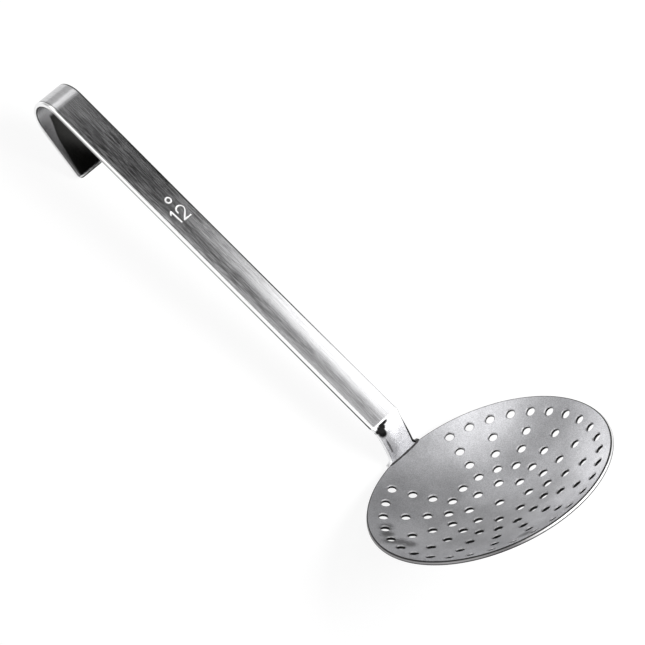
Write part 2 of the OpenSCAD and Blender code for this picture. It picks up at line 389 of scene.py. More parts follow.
def perforation_tree(rings):
    """Punches the rings of holes through the dish and cuts the flat that the neck stands on."""
    tree, bench, given, out = new_tree(
        "Perforated dish",
        "GeometryNodeTree",
        [
            ("Dish", "NodeSocketGeometry", None),
            ("Hole", FLOAT, 0.0044),
            ("Edge", FLOAT, 0.0002),
            ("Sheet", FLOAT, 0.002),
            ("Ball radius", FLOAT, 0.1275),
            ("Ball height", FLOAT, 0.1125),
            ("Outer ring", FLOAT, 0.053),
            ("Pitch", FLOAT, 0.0096),
            ("Spokes", "NodeSocketInt", 16),
            ("Land", FLOAT, 0.0015),
            ("Bare from", FLOAT, 0.0289),
            ("Bare half", FLOAT, 0.0115),
            ("Seat", FLOAT, 0.0589),
            ("Material", "NodeSocketMaterial", None),
        ],
        [("Dish", "NodeSocketGeometry")],
    )
    ring_tree = ring_of_holes_tree()
    join = bench.add("GeometryNodeJoinGeometry")
    middle = bench.add("GeometryNodePoints", 1)
    tree.links.new(middle.outputs[0], join.inputs[0])
    least = bench.math("ADD", given["Hole"], given["Land"])
    for k in range(rings):
        radius = bench.math("SUBTRACT", given["Outer ring"], bench.math("MULTIPLY", given["Pitch"], float(k)))
        ring = bench.add("GeometryNodeGroup", node_tree=ring_tree)
        for name, value in (("Radius", radius), ("Spokes", given["Spokes"]), ("Pitch", given["Pitch"]), ("Least", least)):
            tree.links.new(value, ring.inputs[name])
        tree.links.new(ring.outputs[0], join.inputs[0])
    x, y, z = bench.split(bench.add("GeometryNodeInputPosition").outputs[0])
    near = bench.add("FunctionNodeCompare", x, given["Bare from"], operation="GREATER_THAN").outputs[0]
    aside = bench.add("FunctionNodeCompare", bench.math("ABSOLUTE", y), given["Bare half"], operation="LESS_THAN").outputs[0]
    kept = bench.add("GeometryNodeDeleteGeometry", join.outputs[0], bench.both(near, aside), domain="POINT")
    square = bench.math("ADD", bench.math("MULTIPLY", x, x), bench.math("MULTIPLY", y, y))
    drop = bench.math("SQRT", bench.math("SUBTRACT", bench.math("MULTIPLY", given["Ball radius"], given["Ball radius"]), square))
    seated = bench.add(
        "GeometryNodeSetPosition", kept.outputs[0], True, bench.vector(x, y, bench.math("SUBTRACT", given["Ball height"], drop))
    )
    outward = bench.add(
        "ShaderNodeVectorMath",
        bench.add("GeometryNodeInputPosition").outputs[0],
        bench.vector(0.0, 0.0, given["Ball height"]),
        operation="SUBTRACT",
    ).outputs[0]
    facing = bench.add("FunctionNodeAlignRotationToVector", None, 1.0, outward, axis="Z")
    punch = bench.add("GeometryNodeGroup", given["Hole"], given["Edge"], given["Sheet"], node_tree=punch_tree(rings))
    holes = bench.add(
        "GeometryNodeInstanceOnPoints", seated.outputs[0], None, punch.outputs[0], None, None, facing.outputs[0]
    )
    block = bench.add("GeometryNodeMeshCube", (0.04, 0.06, 0.06))
    seat = bench.add(
        "GeometryNodeTransform",
        block.outputs[0],
        sockets={"Translation": bench.vector(bench.math("ADD", given["Seat"], 0.02), 0.0, 0.0)},
    )
    cutters = bench.add("GeometryNodeJoinGeometry")
    tree.links.new(bench.add("GeometryNodeRealizeInstances", holes.outputs[0]).outputs[0], cutters.inputs[0])
    tree.links.new(seat.outputs[0], cutters.inputs[0])
    cut = bench.add("GeometryNodeMeshBoolean", given["Dish"], operation="DIFFERENCE", solver="MANIFOLD")
    tree.links.new(cutters.outputs[0], cut.inputs[1])
    real = bench.add("GeometryNodeRealizeInstances", cut.outputs[0])
    done = bench.add("GeometryNodeSetMaterial", real.outputs[0], None, given["Material"])
    tree.links.new(done.outputs[0], out.inputs[0])
    return tree


def hook_tree():
    """Bends a flat blank into the hook: straight as far as Run, round by Turn, and straight again."""
    tree, bench, given, out = new_tree(
        "Hooked strip",
        "GeometryNodeTree",
        [
            ("Blank", "NodeSocketGeometry", None),
            ("Run", FLOAT, 0.214),
            ("Outside radius", FLOAT, 0.0123),
            ("Turn", FLOAT, 2.78),
            ("Material", "NodeSocketMaterial", None),
        ],
        [("Strip", "NodeSocketGeometry")],
    )
    x, y, z = bench.split(bench.add("GeometryNodeInputPosition").outputs[0])
    radius = given["Outside radius"]
    past = bench.math("SUBTRACT", x, given["Run"])
    angle = bench.math("MINIMUM", bench.math("MAXIMUM", bench.math("DIVIDE", past, radius), 0.0), given["Turn"])
    before = bench.math("MINIMUM", past, 0.0)
    after = bench.math("MAXIMUM", bench.math("SUBTRACT", past, bench.math("MULTIPLY", radius, given["Turn"])), 0.0)
    straight = bench.math("ADD", before, after)
    sine = bench.math("SINE", angle)
    cosine = bench.math("COSINE", angle)
    arm = bench.math("ADD", radius, z)
    along = bench.math("ADD", bench.math("MULTIPLY", arm, sine), bench.math("MULTIPLY", straight, cosine))
    height = bench.math("SUBTRACT", bench.math("MULTIPLY", arm, cosine), bench.math("MULTIPLY", straight, sine))
    place = bench.vector(bench.math("ADD", given["Run"], along), y, bench.math("SUBTRACT", height, radius))
    bent = bench.add("GeometryNodeSetPosition", given["Blank"], True, place)
    real = bench.add("GeometryNodeRealizeInstances", bent.outputs[0])
    done = bench.add("GeometryNodeSetMaterial", real.outputs[0], None, given["Material"])
    tree.links.new(done.outputs[0], out.inputs[0])
    return tree


# Steel


def grain_group():
    """Noise drawn out along X: brush lines, or plain mottling where both scales are alike."""
    tree, bench, given, out = new_tree(
        "Steel grain",
        "ShaderNodeTree",
        [("Vector", "NodeSocketVector", None), ("Along", FLOAT, 30.0), ("Across", FLOAT, 1500.0), ("Detail", FLOAT, 3.0)],
        [("Value", FLOAT)],
    )
    scale = bench.vector(given["Along"], given["Across"], given["Across"])
    drawn = bench.add("ShaderNodeVectorMath", given["Vector"], scale, operation="MULTIPLY").outputs[0]
    noise = bench.add("ShaderNodeTexNoise", sockets={"Vector": drawn, "Scale": 1.0, "Detail": given["Detail"], "Roughness": 0.6})
    tree.links.new(noise.outputs[0], out.inputs[0])
    return tree


def ramp(bench, value, low, high, dark=0.0, light=1.0):
    """Takes value from low to high onto dark to light, and holds it there."""
    made = bench.add("ShaderNodeMapRange", value, low, high, dark, light, interpolation_type="SMOOTHSTEP", clamp=True)
    return made.outputs[0]


def blend(bench, factor, a, b):
    """Mixes two colours."""
    made = bench.add("ShaderNodeMix", data_type="RGBA", clamp_factor=True)
    for key, value in ((0, factor), (6, a), (7, b)):
        if isinstance(value, bpy.types.NodeSocket):
            bench.tree.links.new(value, made.inputs[key])
        elif key == 0:
            made.inputs[key].default_value = value
        else:
            made.inputs[key].default_value = (*value, 1.0)
    return made.outputs[2]


class Steel:
    """A metal material under construction, with the grain group at hand."""

    def __init__(self, name, grain):
        self.material = bpy.data.materials.new(name)
        self.material.use_nodes = True
        self.tree = self.material.node_tree
        self.tree.nodes.clear()
        self.bench = Bench(self.tree)
        self.grain_tree = grain
        self.shader = self.bench.add("ShaderNodeBsdfPrincipled")
        self.shader.inputs["Metallic"].default_value = 1.0
        self.bench.add("ShaderNodeOutputMaterial", self.shader.outputs[0])

    def grain(self, vector, along, across, detail=3.0):
        made = self.bench.add("ShaderNodeGroup", node_tree=self.grain_tree)
        self.tree.links.new(vector, made.inputs["Vector"])
        made.inputs["Along"].default_value = along
        made.inputs["Across"].default_value = across
        made.inputs["Detail"].default_value = detail
        return made.outputs[0]

    def attribute(self, name):
        return self.bench.add("ShaderNodeAttribute", attribute_name=name, attribute_type="GEOMETRY").outputs["Fac"]

    def coordinates(self, output="Object", turned=(0, 0, 0), scale=(1, 1, 1)):
        source = self.bench.add("ShaderNodeTexCoord").outputs[output]
        mapping = self.bench.add("ShaderNodeMapping", source)
        mapping.inputs["Rotation"].default_value = turned
        mapping.inputs["Scale"].default_value = scale
        return mapping.outputs[0]

    def set(self, color=None, roughness=None, height=None, depth=0.00004, strength=0.4):
        if color is not None:
            self.tree.links.new(color, self.shader.inputs["Base Color"])
        if roughness is not None:
            self.tree.links.new(roughness, self.shader.inputs["Roughness"])
        if height is not None:
            bump = self.bench.add("ShaderNodeBump", sockets={"Strength": strength, "Distance": depth, "Height": height})
            self.tree.links.new(bump.outputs[0], self.shader.inputs["Normal"])
        return self.material


UV_SCALE = 3.0


def blot(bench, at, place, size, ragged):
    """1 in a ragged blot round a place."""
    far = bench.add("ShaderNodeVectorMath", at, tuple(place), operation="DISTANCE").outputs["Value"]
    far = bench.math("ADD", bench.math("DIVIDE", far, size), bench.math("SUBTRACT", ragged, 0.5))
    return bench.math("SUBTRACT", 1.0, ramp(bench, far, 0.2, 1.1))


def satin_steel(grain, scene):
    """Dish: fine even satin with soft mottling and real stains, painted shade in its holes, in its middle and along its
    rim's corners, and painted highlights on its rim and hole edges.
    """
    finish = scene.skimmer_finish
    shape = Shape(scene)
    steel = Steel("Satin steel", grain)
    bench = steel.bench
    at = steel.coordinates()
    cloudy = steel.grain(at, 45.0, 45.0, 4.0)
    fine = steel.grain(at, 1900.0, 1900.0, 2.0)
    rubbed = steel.grain(at, 160.0, 900.0, 3.0)
    shade = tuple(0.82 * c for c in finish.satin)
    light = tuple(min(1.0, 1.08 * c) for c in finish.satin)
    color = blend(bench, ramp(bench, cloudy, 0.3, 0.7), shade, light)
    speck = ramp(bench, fine, 0.35, 0.65, 0.74, 1.0)
    color = bench.scale(color, speck)
    # painted shade towards the near side, painted light where the dish stands highest
    color = bench.scale(color, ramp(bench, bench.split(at)[1], -0.040, 0.030, 1.20, 0.82))
    color = bench.scale(color, ramp(bench, bench.split(at)[2], 0.040, 0.070, 0.94, 1.40))
    for stain in shape.stains():
        color = blend(bench, bench.math("MULTIPLY", blot(bench, at, stain, 4.5 * MM, rubbed), 0.75), color, finish.stain_and_shade)
    # painted shade: a broad dark blot in the middle of the dish
    middle = shape.rest @ Vector((-18 * MM, 9 * MM, shape.inside(20 * MM)))
    color = blend(bench, bench.math("MULTIPLY", blot(bench, at, middle, 36 * MM, cloudy), 0.28), color, finish.tarnish_and_shade)
    # how deep a point lies in the sheet, from 0 on the inside to 1 on the underside
    from_middle = bench.add("ShaderNodeVectorMath", at, tuple(shape.rest @ Vector((0, 0, shape.ball_z))), operation="DISTANCE")
    deep = bench.math("SUBTRACT", from_middle.outputs["Value"], shape.ball)
    deep = bench.math("DIVIDE", deep, shape.dish.sheet)
    # the attribute is 1 on both faces of the sheet and falls to 0 on what stands square to them
    level = steel.attribute("level")
    square = bench.math("SUBTRACT", 1.0, ramp(bench, level, 0.52, 0.86))
    rim = steel.attribute("rim")
    # painted highlight on the broken hole edges, then painted shade on the hole walls
    color = blend(bench, ramp(bench, level, 0.95, 0.99, 0.25, 0.0), color, finish.painted_highlight)
    color = blend(bench, bench.math("MULTIPLY", square, bench.math("SUBTRACT", 1.0, rim)), color, (0.018, 0.018, 0.018))
    # painted highlight on the rim's band, with painted dark lines on its corners below
    corners = bench.math("MAXIMUM", ramp(bench, deep, 0.30, 0.38, 1.0, 0.0), ramp(bench, deep, 0.68, 0.80))
    color = blend(bench, rim, color, finish.painted_highlight)
    # on the near side painted shade dims the rim between its corners, and the corners get painted dark lines
    near_side = ramp(bench, bench.split(at)[1], 0.006, 0.036)
    painted_dim = tuple(2 * c for c in finish.tarnish_and_shade)
    color = blend(bench, bench.math("MULTIPLY", rim, near_side), color, painted_dim)
    color = blend(bench, bench.math("MULTIPLY", rim, corners), color, finish.stain_and_shade)
    roughness = bench.math("ADD", ramp(bench, rubbed, 0.3, 0.7, 0.30, 0.38), ramp(bench, fine, 0.3, 0.7, 0.0, 0.05))
    height = bench.math("ADD", bench.math("MULTIPLY", fine, 0.6), bench.math("MULTIPLY", rubbed, 0.4))
    return steel.set(color, roughness, height, 0.00005, 0.35)


def polished_steel(grain, scene):
    """Neck: nearly bright, with a painted dark reflection by the crease, a painted dim patch and dark streak below it,
    and painted shade along its far edge.
    """
    finish = scene.skimmer_finish
    steel = Steel("Polished steel", grain)
    bench = steel.bench
    at = steel.coordinates()
    marks = steel.grain(at, 260.0, 700.0, 2.0)
    cloudy = steel.grain(at, 160.0, 160.0, 3.0)
    shade = tuple(0.93 * c for c in finish.polished)
    color = blend(bench, ramp(bench, cloudy, 0.3, 0.7), shade, finish.polished)
    down = bench.math("MULTIPLY", steel.attribute("below_crease"), 1 / MM)
    over = bench.math("MULTIPLY", steel.attribute("across"), 1 / MM)
    ragged = bench.math("MULTIPLY", bench.math("SUBTRACT", cloudy, 0.5), 0.6)

    def spot(middle_down, half_down, middle_over, half_over, soft=0.35):
        """1 inside an oval on the front of the neck, given in millimetres."""
        a = bench.math("DIVIDE", bench.math("SUBTRACT", down, middle_down), half_down)
        b = bench.math("DIVIDE", bench.math("SUBTRACT", over, middle_over), half_over)
        far = bench.math("ADD", bench.math("SQRT", bench.math("ADD", bench.math("MULTIPLY", a, a), bench.math("MULTIPLY", b, b))), ragged)
        return bench.math("SUBTRACT", 1.0, ramp(bench, far, 1.0 - soft, 1.0 + soft))

    # painted dark reflection: a dim patch and a dark streak on the near half
    painted_dim = bench.math("MULTIPLY", spot(13.0, 8.5, 4.6, 2.2, 0.8), 0.5)
    painted_dark_streak = bench.math("MULTIPLY", spot(11.5, 4.5, 5.8, 0.5, 0.4), 0.95)
    color = blend(bench, bench.math("MAXIMUM", painted_dim, painted_dark_streak), color, finish.tarnish_and_shade)
    # painted dark reflection by the crease: a black spot with small marks round it
    painted_dark_reflection = spot(3.6, 3.2, 5.5, 2.1, 0.25)
    for mark in ((1.6, 2.0, 3.9, 1.7, 0.3), (0.9, 0.9, 1.9, 2.4, 0.35), (2.6, 1.2, 7.2, 1.0, 0.3)):
        painted_dark_reflection = bench.math("MAXIMUM", painted_dark_reflection, spot(*mark))
    # a painted dark line, as shade, along the far edge widens towards the root
    inset = ramp(bench, down, 2.0, 14.0, 0.93, 0.80)
    line = ramp(bench, bench.math("SUBTRACT", steel.attribute("far_edge"), inset), 0.0, 0.03)
    line = bench.math("MULTIPLY", line, ramp(bench, down, -1.0, 8.0, 0.7, 1.0))
    painted_dark_reflection = bench.math("MAXIMUM", painted_dark_reflection, line)
    color = blend(bench, painted_dark_reflection, color, (0.012, 0.012, 0.012))
    # painted shade on the far edge's rounding
    edge = bench.math("MULTIPLY", steel.attribute("edge"), 0.8)
    color = blend(bench, edge, color, finish.stain_and_shade)
    roughness = ramp(bench, marks, 0.3, 0.7, 0.25, 0.29)
    return steel.set(color, roughness, marks, 0.00002, 0.03)


def brushed_steel(grain, scene):
    """Strip: brush lines along it, with tarnish and painted dark reflection growing towards the hook, painted
    highlights and painted shade lines on its edges, and painted shade in the hook.
    """
    finish = scene.skimmer_finish
    steel = Steel("Brushed steel", grain)
    bench = steel.bench
    at = steel.coordinates("UV", scale=(1 / UV_SCALE, 1 / UV_SCALE, 1.0))
    hair_lines = steel.grain(at, 60.0, 5200.0, 2.0)
    lines = steel.grain(at, 110.0, 2300.0, 3.0)
    broad = steel.grain(at, 40.0, 420.0, 4.0)
    patchy = steel.grain(at, 28.0, 110.0, 3.0)
    along, girth, _ = bench.split(at)
    strip = scene.skimmer_strip
    half = strip.width / 2
    bend_end = strip.run + (strip.bend + strip.sheet) * strip.bend_turn
    # across the upper face, from its far edge below 0 to its near edge above 0
    over = bench.math("SUBTRACT", 2 * half, girth)
    upper = ramp(bench, along, strip.run - 22 * MM, strip.run + 3 * MM, 1.0, 0.0)
    # tarnish in the brush lines, deepened towards the hook as painted dark reflection
    aged_and_shaded = bench.math("MULTIPLY", ramp(bench, along, 0.060, 0.125), upper)
    dirt_and_shade = bench.math("MULTIPLY", ramp(bench, lines, 0.42, 0.56, 1.0, 0.0), ramp(bench, broad, 0.34, 0.60, 1.0, 0.45))
    dirt_and_shade = bench.math("MULTIPLY", dirt_and_shade, ramp(bench, patchy, 0.34, 0.60, 1.0, 0.55))
    dirt_and_shade = bench.math("MULTIPLY", dirt_and_shade, bench.math("ADD", bench.math("MULTIPLY", aged_and_shaded, 0.85), 0.10))
    color = blend(bench, dirt_and_shade, finish.brushed, finish.tarnish_and_shade)
    # a painted dark reflection band along the near half, and a painted shade patch, the darkest, between the number and
    # the bend
    off_band = bench.math("ABSOLUTE", bench.math("SUBTRACT", over, 3 * MM))
    dark_reflection_band = bench.math("MULTIPLY", ramp(bench, off_band, 1 * MM, 5 * MM, 1.0, 0.0), ramp(bench, along, 0.0, 0.11, 0.36, 0.80))
    off_patch = bench.math("ABSOLUTE", bench.math("SUBTRACT", along, 0.160))
    shade_patch = bench.math("MULTIPLY", ramp(bench, off_patch, 0.006, 0.030, 0.70, 0.0), ramp(bench, over, -6 * MM, -1 * MM))
    painted_shade = bench.math("MULTIPLY", bench.math("MAXIMUM", dark_reflection_band, shade_patch), upper)
    painted_shade = bench.math("MULTIPLY", painted_shade, ramp(bench, lines, 0.38, 0.60, 1.0, 0.5))
    color = blend(bench, painted_shade, color, finish.tarnish_and_shade)
    color = bench.scale(color, ramp(bench, hair_lines, 0.35, 0.65, 0.80, 1.0))
    # the near long side and the face's near edge get a painted highlight; painted shade lines run on the sides' lower
    # edges and along the face's edges
    near_side = bench.math("LESS_THAN", girth, half + 1.3 * MM)
    color = blend(bench, near_side, color, finish.painted_highlight)
    # painted shade on the far edge fades towards the neck, and under the near side it fades towards the hook
    shaded_edge = ramp(bench, along, 0.015, 0.085, 0.15, 1.0)
    foot = ramp(bench, along, 0.0, 0.15, 1.0, 0.6)
    hooked = ramp(bench, along, strip.run, strip.run + 8 * MM)
    foot = bench.math("MULTIPLY", foot, bench.math("SUBTRACT", 1.0, hooked))
    low_line = bench.math("MULTIPLY", bench.math("GREATER_THAN", girth, half - 0.65 * MM), hooked)
    foot = bench.math("MAXIMUM", foot, low_line)
    side = bench.math("LESS_THAN", girth, half + 0.05 * MM)
    shaded_edge = bench.math("ADD", bench.math("MULTIPLY", side, foot), bench.math("MULTIPLY", bench.math("SUBTRACT", 1.0, side), shaded_edge))
    color = blend(bench, bench.math("MULTIPLY", steel.attribute("edge"), shaded_edge), color, (0.012, 0.012, 0.012))
    # painted shade lines just inside both edges of the upper face
    far_line = bench.math("MULTIPLY", ramp(bench, over, -half + 0.75 * MM, -half + 1.0 * MM, 1.0, 0.0), bench.math("GREATER_THAN", over, -half - 0.3 * MM))
    far_line = bench.math("MULTIPLY", far_line, ramp(bench, along, 0.015, 0.085))
    near_line = bench.math("MULTIPLY", ramp(bench, over, half - 1.8 * MM, half - 1.6 * MM), bench.math("LESS_THAN", over, half - 1.3 * MM))
    near_line = bench.math("MULTIPLY", near_line, ramp(bench, along, 0.02, 0.16, 0.2, 0.9))
    lines_drawn = bench.math("MAXIMUM", far_line, near_line)
    color = blend(bench, bench.math("MULTIPLY", lines_drawn, 0.95), color, (0.012, 0.012, 0.012))
    # painted shade dims the inside of the bend, and inside the return painted shade makes the steel nearly black, but
    # for a strip that narrows towards the tip
    inside = bench.math("GREATER_THAN", girth, 4 * half + strip.sheet - 0.2 * MM)
    painted_dim = bench.math("MULTIPLY", inside, ramp(bench, along, bend_end - 8 * MM, bend_end, 0.30, 0.88))
    color = blend(bench, bench.math("MULTIPLY", painted_dim, ramp(bench, along, strip.run, strip.run + 9 * MM)), color, finish.tarnish_and_shade)
    inner = bench.math("SUBTRACT", 5 * half + strip.sheet, girth)
    bare = ramp(bench, along, bend_end, bend_end + strip.back, 3.6 * MM, 1.5 * MM)
    bare = bench.math("ADD", bare, ramp(bench, along, bend_end - 3 * MM, bend_end + 10 * MM, 2.6 * MM, 0.0))
    black = ramp(bench, bench.math("ADD", inner, bare), half - 0.4 * MM, half + 0.4 * MM, 0.95, 0.0)
    black = bench.math("MULTIPLY", black, ramp(bench, along, bend_end - 5 * MM, bend_end - 2 * MM))
    black = bench.math("MULTIPLY", black, bench.math("GREATER_THAN", girth, 4 * half + strip.sheet - 0.2 * MM))
    color = blend(bench, black, color, (0.012, 0.012, 0.011))
    # the tip's rounding gets a painted highlight with a painted dark line outside it, which runs on round the return
    end = bend_end + strip.back
    tip = bench.math("MULTIPLY", ramp(bench, along, end - 1.75 * MM, end - 1.55 * MM), bench.math("SUBTRACT", 1.0, side))
    color = blend(bench, tip, color, finish.painted_highlight)
    outer = bench.math("LESS_THAN", girth, half - strip.sheet + 1.1 * MM)
    outer = bench.math("MULTIPLY", outer, ramp(bench, along, bend_end - 6 * MM, bend_end + 6 * MM))
    outer = bench.math("MAXIMUM", outer, ramp(bench, along, end - 0.9 * MM, end - 0.75 * MM))
    color = blend(bench, outer, color, (0.02, 0.02, 0.02))
    # stamped strokes: painted highlight on their deep faces, painted shadow on their shallow sides
    stamp = steel.attribute("stamp")
    color = blend(bench, stamp, color, finish.painted_highlight)
    color = blend(bench, bench.math("MULTIPLY", stamp, -1.0), color, finish.stain_and_shade)
    roughness = bench.math("ADD", ramp(bench, lines, 0.3, 0.7, 0.18, 0.26), ramp(bench, stamp, 0.0, 1.0, 0.0, 0.3))
    matt = bench.math("MULTIPLY", inside, ramp(bench, along, strip.run, strip.run + 9 * MM, 0.0, 0.22))
    matt = bench.math("MULTIPLY", matt, ramp(bench, along, bend_end - 6 * MM, bend_end + 4 * MM, 1.0, 0.0))
    roughness = bench.math("ADD", roughness, matt)
    height = bench.math("ADD", bench.math("MULTIPLY", hair_lines, 0.5), bench.math("MULTIPLY", lines, 0.5))
    return steel.set(color, roughness, height, 0.00004, 0.3)


def weld_steel(grain, scene):
    """Seams: matt and dark, a dark weld whose colour also stands for the shade in the crease at the foot."""
    finish = scene.skimmer_finish
    steel = Steel("Seam steel", grain)
    bench = steel.bench
    ripples = steel.grain(steel.coordinates(), 900.0, 900.0, 3.0)
    light = tuple(1.8 * c for c in finish.stain_and_shade)
    color = blend(bench, ramp(bench, ripples, 0.35, 0.65), finish.stain_and_shade, light)
    roughness = ramp(bench, ripples, 0.3, 0.7, 0.35, 0.5)
    return steel.set(color, roughness, ripples, 0.0001, 0.5)


STEELS = {"dish": satin_steel, "neck": polished_steel, "strip": brushed_steel, "seam": weld_steel}


def steel_for(piece):
    """The piece's material, made once."""
    makers = STEELS[piece]
    name = "Skimmer " + piece
    if name not in bpy.data.materials:
        if "Steel grain" not in bpy.data.node_groups:
            grain_group()
        made = makers(bpy.data.node_groups["Steel grain"], bpy.context.scene)
        made.name = name
    return bpy.data.materials[name]


# Pieces


def dish_blank(shape, around=192, rows=34, round_steps=5):
    """The dish before its holes are punched: a turned solid with a rounded rim."""
    dish = shape.dish
    rho = dish.rim_round
    profile = []
    last = shape.rim_angle - rho / shape.ball
    for i in range(1, rows + 1):
        a = last * i / rows
        profile.append((shape.ball * math.sin(a), shape.ball_z - shape.ball * math.cos(a)))
    out = Vector((math.cos(shape.rim_angle), math.sin(shape.rim_angle)))
    down = Vector((math.sin(shape.rim_angle), -math.cos(shape.rim_angle)))
    corner = Vector((shape.rim, 0.0))
    for centre, from_a in ((rho, 0), (dish.sheet - rho, 1)):
        middle = corner - rho * out + centre * down
        for i in range(1, round_steps + 1) if from_a == 0 else range(round_steps + 1):
            a = math.radians(90) * i / round_steps
            if from_a == 0:
                p = middle + rho * (-math.cos(a) * down + math.sin(a) * out)
            else:
                p = middle + rho * (math.cos(a) * out + math.sin(a) * down)
            profile.append((p.x, p.y))
    far = shape.ball + dish.sheet
    for i in range(rows, 0, -1):
        a = (shape.rim_angle - rho / shape.ball) * i / rows
        if i < rows:
            profile.append((far * math.sin(a), shape.ball_z - far * math.cos(a)))
    rings = [
        [(r * math.cos(math.tau * j / around), r * math.sin(math.tau * j / around), z) for j in range(around)]
        for r, z in profile
    ]
    points, faces = skin(rings, closed_ends=False)
    top, bottom = len(points), len(points) + 1
    points += [(0, 0, -dish.depth), (0, 0, -dish.depth - dish.sheet)]
    last_ring = (len(rings) - 1) * around
    for j in range(around):
        k = (j + 1) % around
        faces.append((top, k, j))
        faces.append((bottom, last_ring + j, last_ring + k))
    # rings run outwards over the top, so their quads are turned to face out
    faces = [face[::-1] for face in faces]
    return new_object("bowl_dish", points, faces)


def smooth_step(x):
    """Eases from 0 to 1."""
    x = min(1.0, max(0.0, x))
    return x * x * (3 - 2 * x)


def edge_shade_ring(steps=5, across=22):
    """How far round an edge each point of that section lies: 0 on the flats, 1 midway round, which sets how much
    painted shade the edge gets.
    """
    flat = [0.0] * (across + 1)
    bend = [math.sin(math.pi * i / steps) for i in range(1, steps + 1)]
    return flat + bend + [0.0] + bend + flat[1:] + bend + [0.0] + bend[:-1]


def rounded_ring(half, sheet, edge, lift, steps=5, across=22):
    """Section of a sheet with round edges, as (y, depth) from the front face: front, side, back, side."""
    flat = half - edge
    ring = [(flat - 2 * flat * i / across, 0.0) for i in range(across + 1)]
    for i in range(1, steps + 1):
        a = math.radians(90) * i / steps
        ring.append((-flat - edge * math.sin(a), edge - edge * math.cos(a)))
    for i in range(steps + 1):
        a = math.radians(90) * i / steps
        ring.append((-flat - edge * math.cos(a), sheet - edge + edge * math.sin(a)))
    ring += [(-flat + 2 * flat * i / across, sheet) for i in range(1, across + 1)]
    for i in range(1, steps + 1):
        a = math.radians(90) * i / steps
        ring.append((flat + edge * math.sin(a), sheet - edge + edge * math.cos(a)))
    for i in range(steps + 1):
        a = math.radians(90) * i / steps
        if i < steps:
            ring.append((flat + edge * math.cos(a), edge - edge * math.sin(a)))
    return [(y, depth - lift * (1 - (y / half) ** 2)) for y, depth in ring]


def neck_rings(shape, stations=64):
    """Sections of the neck from its foot to the crease in the dish's frame, and how far up each lies."""
    neck, strip = shape.neck, shape.strip
    straight = neck.upright - shape.foot_z
    total = straight + neck.radius * neck.lean
    rings, heights = [], []
    for i in range(stations - 1):
        t = i / (stations - 1)
        # stations stand closer in the flare
        s = total * (0.35 * t + 0.65 * t * t)
        heights.append(s)
        angle = max(0.0, s - straight) / neck.radius
        centre = Vector((
            shape.seat + neck.radius * (1 - math.cos(angle)),
            0,
            shape.foot_z + s if s <= straight else neck.upright + neck.radius * math.sin(angle),
        ))
        z = s + shape.foot_z
        flare = (shape.foot_width - neck.waist) / 2
        if z <= 0:
            half = shape.foot_width / 2
        elif z >= neck.flare:
            half = neck.waist / 2
        else:
            half = shape.foot_width / 2 - flare * math.sqrt(1 - (1 - z / neck.flare) ** 2)
        half += (strip.width - neck.waist) / 2 * smooth_step((s - total + 5 * MM) / (5 * MM))
        lift = neck.crown * smooth_step((z - 0.5 * MM) / (6 * MM)) * smooth_step((total - s) / (5 * MM))
        back = Vector((math.cos(angle), 0, -math.sin(angle)))
        rings.append([centre + Vector((0, y, 0)) + back * d for y, d in rounded_ring(half, strip.sheet, strip.edge, lift)])
    # the last ring lies in the plane of the seam
    away = neck.seam / 2 / math.cos(shape.kink / 2)
    deep = 1 / math.cos(shape.kink / 2)
    slope = neck.lean + shape.kink / 2
    start = shape.crease - away * Vector((math.sin(neck.lean), 0, math.cos(neck.lean)))
    down = Vector((math.cos(slope), 0, -math.sin(slope)))
    section = rounded_ring(strip.width / 2, strip.sheet, strip.edge, 0)
    rings.append([start + Vector((0, y, 0)) + down * d * deep for y, d in section])
    return rings, [*heights, total]


def crowned_share(along, strip):
    """The crown starts at the seam and fades out before the bend."""
    return smooth_step(along / (4 * MM)) * smooth_step((strip.run - 8 * MM - along) / (70 * MM))


def edge_levels(steps, dirt_and_shade):
    """Rows round the strip's edge from its upper face to its lower one, as a turn or a share of the side."""
    upper = [("upper", math.radians(90) * (1 - i / steps)) for i in range(steps + 1)]
    lower = [("lower", angle) for _, angle in reversed(upper)]
    return [*upper, ("side", dirt_and_shade + 0.04), ("side", dirt_and_shade), *lower]


def edge_point(kind, value, edges, sheet):
    """Inset and height of a row where the upper and lower edges have the given radii."""
    edge = edges[0] if kind == "upper" else edges[1]
    if kind == "side":
        return 0.0, -sheet + edge + value * (sheet - sum(edges))
    inset, drop = edge * (1 - math.cos(value)), edge * (1 - math.sin(value))
    return (inset, -drop) if kind == "upper" else (inset, drop - sheet)


def strip_outline(shape, start):
    """Half the strip's outline from the seam to the tip, as (x, y, outward x, outward y, edge radii)."""
    strip = shape.strip
    half, corner = strip.width / 2, strip.corner
    bend_end = strip.run + shape.outer * strip.bend_turn
    end = bend_end + strip.back
    stations = [start + (strip.run - start) * i / 60 for i in range(60)]
    stations += [strip.run + (bend_end - strip.run) * i / 56 for i in range(56)]
    stations += [bend_end + (end - corner - bend_end) * i / 10 for i in range(10)]
    outline = []
    for x in stations:
        wide = smooth_step((x - bend_end) / (end - corner - bend_end))
        edges = [edge + (strip.tip_edge - edge) * wide for edge in (strip.edge, strip.lower_edge)]
        outline.append((x, half, 0.0, 1.0, edges))
    for i in range(9):
        a = math.radians(90) * i / 8
        nx, ny = math.sin(a), math.cos(a)
        outline.append((end - corner + corner * nx, half - corner + corner * ny, nx, ny, [strip.tip_edge] * 2))
    return outline


